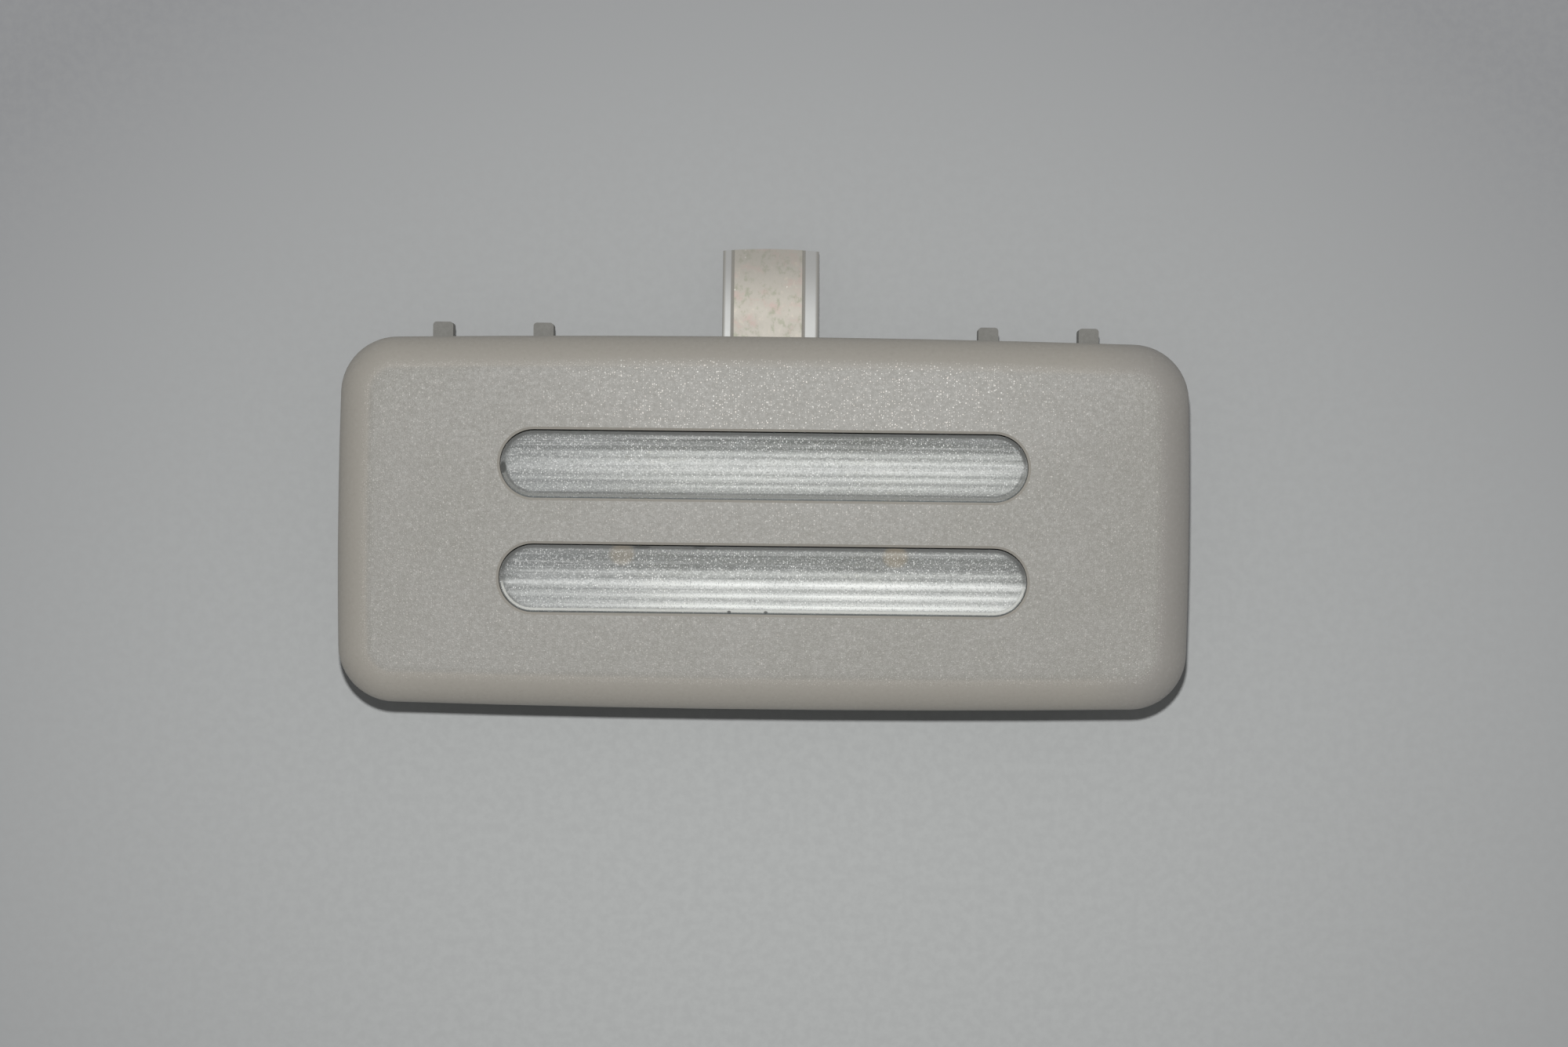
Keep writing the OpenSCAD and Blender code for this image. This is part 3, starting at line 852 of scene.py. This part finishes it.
    def edged(self, r: Recipe, tone: Socket, is_upper: Socket) -> Socket:
        """Paints shade on the bars' upper edges, left ends and gaps, and a shade line and a light line
        along their lower edges.

        Args:
            r: Recipe of the finish.
            tone: Colour below.
            is_upper: 1 on the upper bar and 0 on the lower one.

        Returns:
            The colour socket.
        """
        radius, up = self.from_middle(r, is_upper)
        above = r.step(up, self.up_mm)
        below = r.step(above, self.below_levels)
        upper = r.step(above, (0.0, 1.0), (self.least_shade, 1.0))
        shade = r.product(r.step(radius, self.shade_radii), upper)
        left = r.step(r.along(Axis.X), self.left_end, (0.0, self.edge_share))
        end = r.product(r.step(radius, self.end_radii), left)
        gap = r.step(radius, self.gap_radii, (0.0, self.edge_share))
        tone = r.mix(r.largest(shade, end, gap), tone, self.edge_shade)
        ring = [r.step(radius, span) for span in self.shade_line_radii]
        tone = r.mix(r.product(*ring, below, is_upper, self.shade_line_share), tone, self.inner_shade_line)
        ring = [r.step(radius, span) for span in self.glow_radii]
        glow = r.mix(is_upper, self.lower_glow, self.upper_glow)
        return r.mix(r.product(*ring, below, self.glow_share), tone, glow)

    def material(self) -> bpy.types.Material:
        """Builds the finish.

        Returns:
            The material.
        """
        r = Recipe(self.name)
        front = r.step(r.along(Axis.Z), self.front_z)
        is_upper = r.sum(Sum.GREATER_THAN, r.along(Axis.Y), 0.0)
        tone = self.grained(r, self.streaked(r, is_upper))
        tone = self.edged(r, tone, is_upper)
        for mark in self.marks:
            tone = mark.over(r, tone)
        r.colour(r.mix(front, self.clear, tone))
        r.roughness(r.step(r.noise(self.orange_peel), NOISE_LEVELS, self.dullness))
        clearness = r.step(front, (0.0, 1.0), (1.0, self.front_clearness))
        r.join(clearness, r.shader.inputs["Transmission Weight"])
        r.set(IOR=1.49, Specular_IOR_Level=0.1)
        r.bump(r.product(r.noise(self.pitting), front), self.relief)
        r.let_light_through(self.clear, self.passed)
        return r.material


@dataclass(frozen=True)
class DrawnSheet:
    """Bright drawn sheet metal with fine lines along the trough."""

    name: str = "reflector_bright_sheet"
    bright: Colour = linear(206, 208, 210)
    dull: Tint = Tint(linear(176, 179, 182), (0.3, 0.75))
    haze: Grain = Grain(7 * MM, 3.0, 0.6)
    lines: Grain = Grain(0.5 * MM, 3.0, 0.6, (0.02, 1.0, 1.0))
    line_levels: Span = (0.25, 0.8)
    dullness: Span = (0.34, 0.5)
    relief: float = 0.012 * MM

    def material(self) -> bpy.types.Material:
        """Builds the finish.

        Returns:
            The material.
        """
        r = Recipe(self.name)
        lines = r.noise(self.lines)
        r.colour(r.tinted(self.bright, r.noise(self.haze), self.dull))
        r.roughness(r.step(lines, self.line_levels, self.dullness))
        r.set(Metallic=1.0)
        r.bump(lines, self.relief)
        return r.material


@dataclass(frozen=True)
class TintedPlastic:
    """Dark moulded plastic with a dull grain, dusty clouds and darker lines of flow."""

    name: str = "housing_dark_plastic"
    body: Colour = linear(64, 65, 67)
    dust: Tint = Tint(linear(96, 96, 95), (0.4, 0.75), 0.55)
    dark: Tint = Tint(linear(50, 51, 53), (0.55, 0.8), 0.25)
    cloud: Grain = Grain(9 * MM, 4.0, 0.6)
    flow: Grain = Grain(3 * MM, 3.0, 0.5, (0.25, 1.0, 1.0))
    fine: Grain = Grain(0.22 * MM, 3.0, 0.6)
    dullness: Span = (0.48, 0.62)
    relief: float = 0.012 * MM

    def material(self) -> bpy.types.Material:
        """Builds the finish.

        Returns:
            The material.
        """
        r = Recipe(self.name)
        cloud = r.noise(self.cloud)
        tone = r.tinted(self.body, cloud, self.dust)
        r.colour(r.tinted(tone, r.noise(self.flow), self.dark))
        r.roughness(r.step(cloud, NOISE_LEVELS, self.dullness))
        r.set(Specular_IOR_Level=0.45)
        r.bump(r.noise(self.fine), self.relief)
        return r.material


@dataclass(frozen=True)
class MilledStrip:
    """Sheet metal straight from the roll, mottled by handling."""

    name: str
    body: Colour
    patch: Colour
    bloom: Colour
    dullness: Span = (0.32, 0.5)
    wide: Grain = Grain(2.6 * MM, 3.0, 0.55)
    small: Grain = Grain(1.1 * MM, 3.0, 0.6, (1.0, 0.8, 1.0), 25)
    patch_levels: Span = (0.38, 0.62)
    bloom_levels: Span = (0.5, 0.72)
    bloom_share: float = 0.6
    specks: Specks = Specks(linear(242, 240, 230), 1.9 * MM, (0.1, 0.03), (0.45, 0.6))
    scratches: Grain = Grain(0.35 * MM, 2.0, 0.5, (1.0, 0.05, 1.0), 8)
    relief: float = 0.006 * MM

    def material(self) -> bpy.types.Material:
        """Builds the finish.

        Returns:
            The material.
        """
        r = Recipe(self.name)
        wide = r.noise(self.wide)
        tone = r.tinted(self.body, wide, Tint(self.patch, self.patch_levels))
        bloom = Tint(self.bloom, self.bloom_levels, self.bloom_share)
        tone = r.tinted(tone, r.noise(self.small), bloom)
        r.colour(r.speckled(tone, self.specks))
        r.roughness(r.step(wide, NOISE_LEVELS, self.dullness))
        r.set(Metallic=1.0)
        r.bump(r.noise(self.scratches), self.relief)
        return r.material


@dataclass(frozen=True)
class PressedSpring:
    """Dull zinc-coated spring steel, mottled, with painted shade in the tongue's creases, along its
    side edges and towards its tip, and painted highlight on its flanks.
    """

    name: str = "spring_mottled_steel"
    body: Colour = linear(204, 199, 189)
    warm: Tint = Tint(linear(212, 194, 186), (0.5, 0.68), 0.8)
    green: Tint = Tint(linear(180, 181, 163), (0.5, 0.68), 0.85)
    pale: Tint = Tint(linear(222, 214, 200), (0.43, 0.25), 0.8)
    specks: Specks = Specks(linear(246, 245, 236), 1.3 * MM, (0.09, 0.03), (0.91, 0.94))
    # Painted shade, darker towards the tongue's tip as it bows away.
    tip_shade: Tint = Tint(linear(140, 138, 132), (26 * MM, 34.4 * MM), 0.55)
    # A little darker towards the tongue's root.
    darker_root: Tint = Tint(linear(140, 138, 132), (26.5 * MM, 24.5 * MM), 0.12)
    # Painted highlight on the tongue's flanks, with painted shade towards their tip.
    flank_highlight: Colour = linear(214, 215, 213)
    flank_tip_shade: Tint = Tint(linear(176, 176, 174), (24 * MM, 33 * MM))
    # Painted shade in the tongue's creases and along its side edges.
    crease_and_edge_shade: Colour = linear(158, 156, 150)
    crease_and_edge_shade_share: float = 0.85
    wide: Grain = Grain(2.4 * MM, 3.0, 0.6)
    small: Grain = Grain(1.0 * MM, 3.0, 0.65, (1.0, 0.7, 1.0), 25)
    middle: float = 0.2 * MM
    crease: float = 4.46 * MM
    past_crease: Span = (0.0, 0.2 * MM)
    in_crease: Span = (0.3 * MM, 0.1 * MM)
    left_edge: Span = (-5.05 * MM, -5.3 * MM)
    right_edge: Span = (6.05 * MM, 6.3 * MM)
    tongue_y: Span = (17 * MM, 18 * MM)
    dullness: Span = (0.62, 0.72)
    scratches: Grain = Grain(0.35 * MM, 2.0, 0.5, (1.0, 0.05, 1.0), 8)
    relief: float = 0.005 * MM

    def mottled(self, r: Recipe, wide: Socket) -> Socket:
        """Colours the coating, with painted shade towards the tongue's tip, and a little darker at its
        root.

        Args:
            r: Recipe of the finish.
            wide: Noise of the large patches.

        Returns:
            The colour socket.
        """
        small = r.noise(self.small)
        tone = r.tinted(self.body, wide, self.warm)
        tone = r.tinted(tone, small, self.green)
        tone = r.tinted(tone, small, self.pale)
        tone = r.speckled(tone, self.specks)
        tone = r.tinted(tone, r.along(Axis.Y), self.tip_shade)
        return r.tinted(tone, r.along(Axis.Y), self.darker_root)

    def material(self) -> bpy.types.Material:
        """Builds the finish.

        Returns:
            The material.
        """
        r = Recipe(self.name)
        wide = r.noise(self.wide)
        beside = r.sum(Sum.ABSOLUTE, r.beyond(Axis.X, self.middle))
        from_crease = r.sum(Sum.SUBTRACT, beside, self.crease)
        flank_highlight = r.tinted(self.flank_highlight, r.along(Axis.Y), self.flank_tip_shade)
        tone = r.mix(r.step(from_crease, self.past_crease), self.mottled(r, wide), flank_highlight)
        crease_and_edge_shade = r.largest(r.step(r.sum(Sum.ABSOLUTE, from_crease), self.in_crease),
                          r.step(r.along(Axis.X), self.left_edge),
                          r.step(r.along(Axis.X), self.right_edge))
        amount = r.product(crease_and_edge_shade, r.step(r.along(Axis.Y), self.tongue_y), self.crease_and_edge_shade_share)
        r.colour(r.mix(amount, tone, self.crease_and_edge_shade))
        r.roughness(r.step(wide, NOISE_LEVELS, self.dullness))
        r.set(Metallic=0.35, Diffuse_Roughness=0.6)
        r.bump(r.noise(self.scratches), self.relief)
        return r.material


@dataclass(frozen=True)
class BlownGlass:
    """Thin clear glass of the bulb."""

    name: str = "bulb_blown_glass"
    clear: Colour = linear(248, 250, 250)
    cool: Colour = linear(240, 244, 246)
    cords: Grain = Grain(6 * MM)
    smears: Grain = Grain(4 * MM)
    dullness: Span = (0.0, 0.04)
    passed: float = 0.92

    def material(self) -> bpy.types.Material:
        """Builds the finish.

        Returns:
            The material.
        """
        r = Recipe(self.name)
        r.colour(r.mix(r.noise(self.cords), self.clear, self.cool))
        r.roughness(r.step(r.noise(self.smears), NOISE_LEVELS, self.dullness))
        r.set(Transmission_Weight=1.0, IOR=1.5)
        r.let_light_through((1.0, 1.0, 1.0), self.passed)
        return r.material


@dataclass(frozen=True)
class DrawnWire:
    """Dull wire of the filament and its leads."""

    name: str = "bulb_drawn_wire"
    body: Colour = linear(128, 126, 122)
    oxide: Tint = Tint(linear(84, 80, 78), (0.4, 0.7))
    patches: Grain = Grain(0.8 * MM, 3.0, 0.6)
    fine: Grain = Grain(0.3 * MM)
    dullness: Span = (0.3, 0.5)

    def material(self) -> bpy.types.Material:
        """Builds the finish.

        Returns:
            The material.
        """
        r = Recipe(self.name)
        r.colour(r.tinted(self.body, r.noise(self.patches), self.oxide))
        r.roughness(r.step(r.noise(self.fine), NOISE_LEVELS, self.dullness))
        r.set(Metallic=1.0)
        return r.material


@dataclass(frozen=True)
class TableTop:
    """Pale painted table, with a painted pool of light that makes it a little lighter in front of the
    lamp.
    """

    name: str = "table_top_paint"
    # Painted pool of light: lightest round the centre, fading to the far tone at the reach.
    near: Colour = linear(175, 177, 176)
    far: Colour = linear(141, 142, 144)
    centre: Span = (3 * MM, -40 * MM)
    reach: float = 126 * MM
    narrowing: float = 0.74
    fine: Grain = Grain(1.2 * MM, 3.0, 0.6)
    speckle: Tint = Tint(linear(154, 155, 155), (0.3, 0.7), 0.26)
    relief: float = 0.01 * MM

    def material(self) -> bpy.types.Material:
        """Builds the finish.

        Returns:
            The material.
        """
        r = Recipe(self.name)
        away = r.sum(Sum.DIVIDE, r.spread(self.centre, self.narrowing), self.reach ** 2)
        fine = r.noise(self.fine)
        r.colour(r.tinted(r.mix(away, self.near, self.far), fine, self.speckle))
        r.set(Roughness=0.6, Specular_IOR_Level=0.2)
        r.bump(fine, self.relief)
        return r.material


def put(bm: bmesh.types.BMesh, name: str, material: bpy.types.Material) -> bpy.types.Object:
    """Makes an object of a bmesh, in place, and lets it ride on the lamp.

    Args:
        bm: Shape in the lamp's frame. It is freed.
        name: Name of the piece.
        material: Its finish.

    Returns:
        The object.
    """
    mesh = bpy.data.meshes.new(name)
    bm.to_mesh(mesh)
    bm.free()
    mesh.materials.append(material)
    piece = bpy.data.objects.new(name, mesh)
    bpy.context.scene.collection.objects.link(piece)
    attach(piece, "root")
    return piece


@dataclass
class Smoothed:
    """A CAD node's own form, with its facets shaded as the curves they stand for."""

    node: str
    name: str
    slot: str
    crease: float = 24.0
    same_place: float = 1e-7

    def build(self, frame: dict[str, Any], material: bpy.types.Material) -> bpy.types.Object:
        """Copies the node, joins its triangles and smooths it up to its creases.

        Args:
            material: The finish.

        Returns:
            The piece that stands for the node.
        """
        bm = bmesh.new()
        bm.from_mesh(frame["nodes"][self.node].data)
        bmesh.ops.remove_doubles(bm, verts=bm.verts, dist=self.same_place)
        for face in bm.faces:
            face.smooth = True
        for edge in bm.edges:
            edge.smooth = edge.calc_face_angle(math.pi) < math.radians(self.crease)
        piece = put(bm, self.name, material)
        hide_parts(self.node)
        log.info("%s stands for %s: %d faces", self.name, self.node, len(piece.data.polygons))
        return piece


@dataclass
class Filament:
    """Coil of fine wire between the bulb's two leads."""

    length: float = 11 * MM
    radius: float = 0.4 * MM
    wire: float = 0.05 * MM
    turns: int = 34
    sides: int = 6
    steps_per_turn: int = 14
    axis_z: float = -3.4 * MM

    def build(self, material: bpy.types.Material) -> bpy.types.Object:
        """Spins the wire's section into the coil.

        Args:
            material: The wire's finish.

        Returns:
            The piece.
        """
        bm = bmesh.new()
        ring = bmesh.ops.create_circle(bm, segments=self.sides, radius=self.wire, cap_ends=False)
        bmesh.ops.rotate(bm, verts=ring["verts"], cent=(0, 0, 0),
                         matrix=Matrix.Rotation(math.radians(90), 3, "X"))
        start = Vector((-self.length / 2 + self.wire, 0, self.axis_z + self.radius))
        bmesh.ops.translate(bm, verts=ring["verts"], vec=start)
        travel = self.length - 2 * self.wire
        steps = self.turns * self.steps_per_turn
        bmesh.ops.spin(bm, geom=bm.edges[:], cent=(0, 0, self.axis_z), axis=(1, 0, 0),
                       angle=math.tau * self.turns, steps=steps,
                       dvec=(travel / steps, 0, 0), use_merge=False)
        bmesh.ops.holes_fill(bm, edges=[e for e in bm.edges if e.is_boundary], sides=0)
        bmesh.ops.recalc_face_normals(bm, faces=bm.faces)
        for face in bm.faces:
            face.smooth = True
        piece = put(bm, "filament_coil", material)
        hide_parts("bulb_filament")
        log.info("filament_coil stands for bulb_filament: %d turns", self.turns)
        return piece


@dataclass
class FrontMoulding:
    """Bezel with its two windows, and the clear moulding that fills them."""

    plastic: GrainedPlastic = GrainedPlastic()
    clear: FlutedClear = FlutedClear()

    def build(self, frame: dict[str, Any]) -> None:
        """Dresses the bezel and the lens.
        """
        Smoothed("bezel", "bezel_moulding", "bezel").build(frame, self.plastic.material())
        Smoothed("lens", "lens_moulding", "lens").build(frame, self.clear.material())


@dataclass
class LampUnit:
    """Reflector, festoon bulb, brass contacts and the housing round them."""

    sheet: DrawnSheet = DrawnSheet()
    plastic: TintedPlastic = TintedPlastic()
    glass: BlownGlass = BlownGlass()
    wire: DrawnWire = DrawnWire()
    brass: MilledStrip = MilledStrip("contact_rolled_brass", linear(206, 170, 96),
                                     linear(190, 150, 84), linear(222, 192, 128))
    cap: MilledStrip = MilledStrip("bulb_cap_plated_brass", linear(214, 192, 134),
                                   linear(200, 174, 118), linear(226, 212, 172), (0.22, 0.36))

    def build(self, frame: dict[str, Any]) -> None:
        """Dresses every piece of the unit.
        """
        Smoothed("reflector", "reflector_sheet", "reflector").build(frame, self.sheet.material())
        Smoothed("housing", "housing_moulding", "housing").build(frame, self.plastic.material())
        Smoothed("bulb_glass", "bulb_envelope", "bulb_glass", 30.0).build(frame, self.glass.material())
        metal = self.cap.material()
        wire = self.wire.material()
        brass = self.brass.material()
        for side in Side:
            end = side.value
            Smoothed(f"bulb_cap_{end}", f"bulb_cap_turned_{end}", "bulb_metal").build(frame, metal)
            Smoothed(f"bulb_lead_{end}", f"bulb_lead_wire_{end}", "bulb_wire").build(frame, wire)
            Smoothed(f"contact_{end}", f"contact_strip_{end}", "contact").build(frame, brass)
        Filament().build(wire)


@dataclass
class Fixings:
    """Retaining spring with its rivets, and the four screws."""

    steel: PressedSpring = PressedSpring()
    zinc: MilledStrip = MilledStrip("fastener_zinc", linear(176, 178, 182),
                                    linear(158, 160, 164), linear(190, 190, 186), (0.26, 0.42))

    def build(self, frame: dict[str, Any]) -> None:
        """Dresses the spring, the rivets and the screws.
        """
        steel = self.steel.material()
        zinc = self.zinc.material()
        Smoothed("retaining_spring", "retaining_spring_pressed", "spring").build(frame, steel)
        for side in Side:
            end = side.value
            Smoothed(f"spring_rivet_{end}", f"spring_rivet_set_{end}", "fastener").build(frame, zinc)
            for row in Row:
                corner = f"{row.value}_{end}"
                Smoothed(f"screw_{corner}", f"screw_turned_{corner}", "fastener").build(frame, zinc)


@dataclass
class Studio:
    """Camera, table and lamps, set as in the picture."""

    aim: Span = (2.516 * MM, -0.02 * MM)
    height: float = 552.8 * MM
    turn: float = 0.64
    focal: float = 102.3
    sensor: float = 36.0
    nearest: float = 10 * MM
    key_place: Triple = (-3 * MM, 50 * MM, 553 * MM)
    key_size: float = 16 * MM
    key_share: float = 0.8
    table_z: float = -12 * MM
    table_half: float = 900 * MM

    def camera(self) -> None:
        """Looks straight down on the lamp."""
        data = bpy.data.cameras.new("camera")
        data.lens = self.focal
        data.sensor_width = self.sensor
        data.clip_start = self.nearest
        camera = bpy.data.objects.new("camera", data)
        camera.location = (*self.aim, self.height)
        camera.rotation_euler = (0.0, 0.0, math.radians(self.turn))
        bpy.context.scene.collection.objects.link(camera)
        bpy.context.scene.camera = camera

    def table(self) -> None:
        """Lays the table top under the housing."""
        bm = bmesh.new()
        bmesh.ops.create_grid(bm, x_segments=1, y_segments=1, size=self.table_half)
        bmesh.ops.translate(bm, verts=bm.verts, vec=(0, 0, self.table_z))
        mesh = bpy.data.meshes.new("table_top")
        bm.to_mesh(mesh)
        bm.free()
        mesh.materials.append(TableTop().material())
        top = bpy.data.objects.new("table_top", mesh)
        bpy.context.scene.collection.objects.link(top)
        top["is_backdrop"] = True

    def lamps(self) -> None:
        """Hangs one soft lamp near the camera and fills the rest from all round."""
        data = bpy.data.lights.new("key", "AREA")
        data.shape = "DISK"
        data.size = self.key_size
        reach = self.key_place[2] - self.table_z
        # At this power a surface under the lamp shows its own colour times the lamp's share.
        data.energy = math.pi ** 2 * reach ** 2 * self.key_share
        key = bpy.data.objects.new("key", data)
        key.location = self.key_place
        bpy.context.scene.collection.objects.link(key)
        world = bpy.data.worlds.new("studio_air")
        world.use_nodes = True
        air = world.node_tree.nodes["Background"]
        air.inputs["Color"].default_value = (1.0, 1.0, 1.0, 1.0)
        air.inputs["Strength"].default_value = 1 - self.key_share
        bpy.context.scene.world = world

    def build(self) -> None:
        """Sets the whole studio up."""
        self.camera()
        self.table()
        self.lamps()
        bpy.context.scene.view_settings.view_transform = "Standard"


def write_sizes(cad: tuple[Vector, Vector], looks: tuple[Vector, Vector]) -> None:
    """Writes the box of the CAD model and that of the dressed one.

    Args:
        cad: Lowest and highest corner straight after loading.
        looks: Lowest and highest corner at the end.
    """
    for name, (low, high) in (("cad", cad), ("visual", looks)):
        log.info("%s box %s mm", name, [round(float(v) / MM, 2) for v in high - low])


def main() -> None:
    """Builds the classes in order and reports each piece."""
    logging.basicConfig(level=logging.INFO, format="%(name)s: %(message)s", stream=sys.stdout)
    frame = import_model()
    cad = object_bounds()
    Studio().build()
    FrontMoulding().build(frame)
    LampUnit().build(frame)
    Fixings().build(frame)
    write_sizes(cad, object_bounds())


if __name__ == "__main__":
    main()
